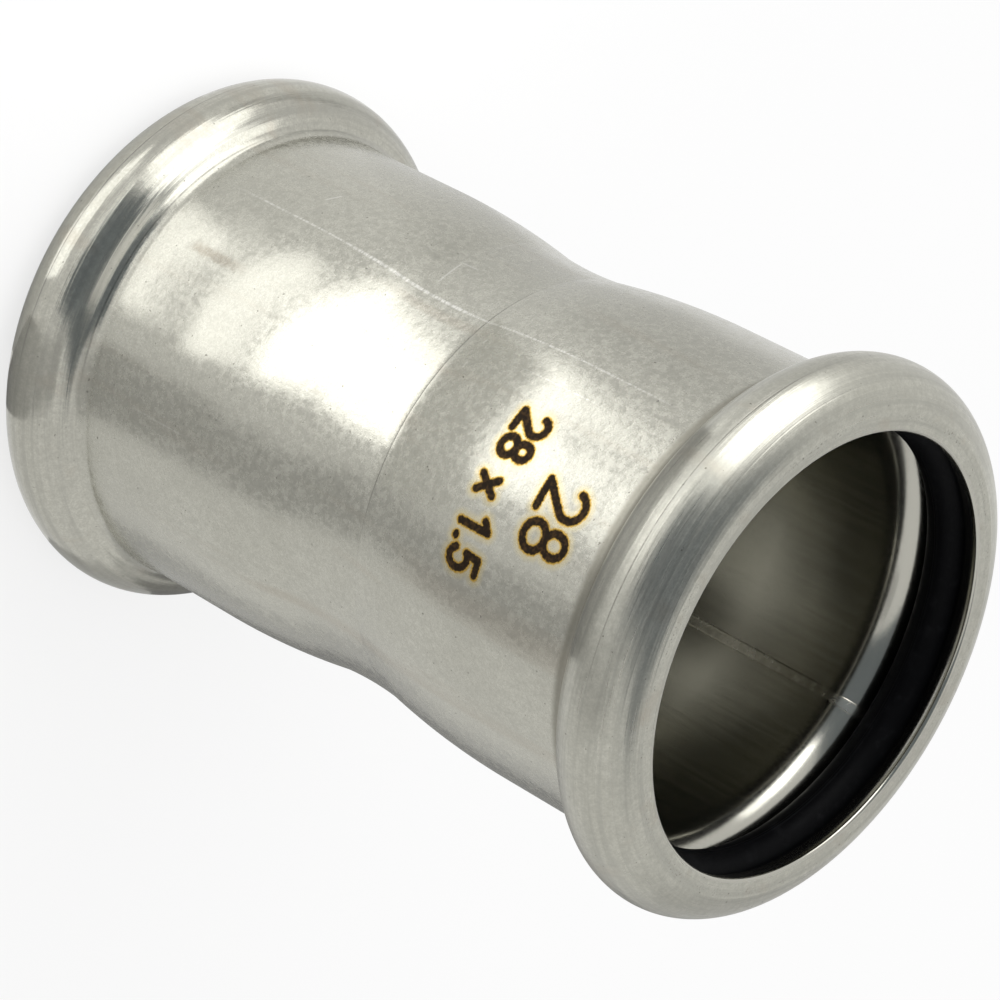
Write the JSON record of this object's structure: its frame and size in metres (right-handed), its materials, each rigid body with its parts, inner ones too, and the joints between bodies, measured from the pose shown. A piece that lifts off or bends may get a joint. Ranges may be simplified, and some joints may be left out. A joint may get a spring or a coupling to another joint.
{
  "type": "press fit pipe coupling",
  "caption": "Straight stainless steel press fit pipe coupling with a rounded bead and a ring seal at each end and a narrowed waist that stops the tubes.",
  "frame": {"origin": "middle of the fitting, on the tube axis", "axes": "+Z along the tube axis, out of the upper mouth; the fitting stands on its lower end"},
  "size_m": [0.0364, 0.0364, 0.0554],
  "materials": {
    "stainless_steel": "satin, as formed",
    "seal_rubber": "matte"
  },
  "bodies": {
    "root": {"fitting_body": "stainless_steel", "upper_seal": "seal_rubber", "lower_seal": "seal_rubber"}
  },
  "joints": []
}
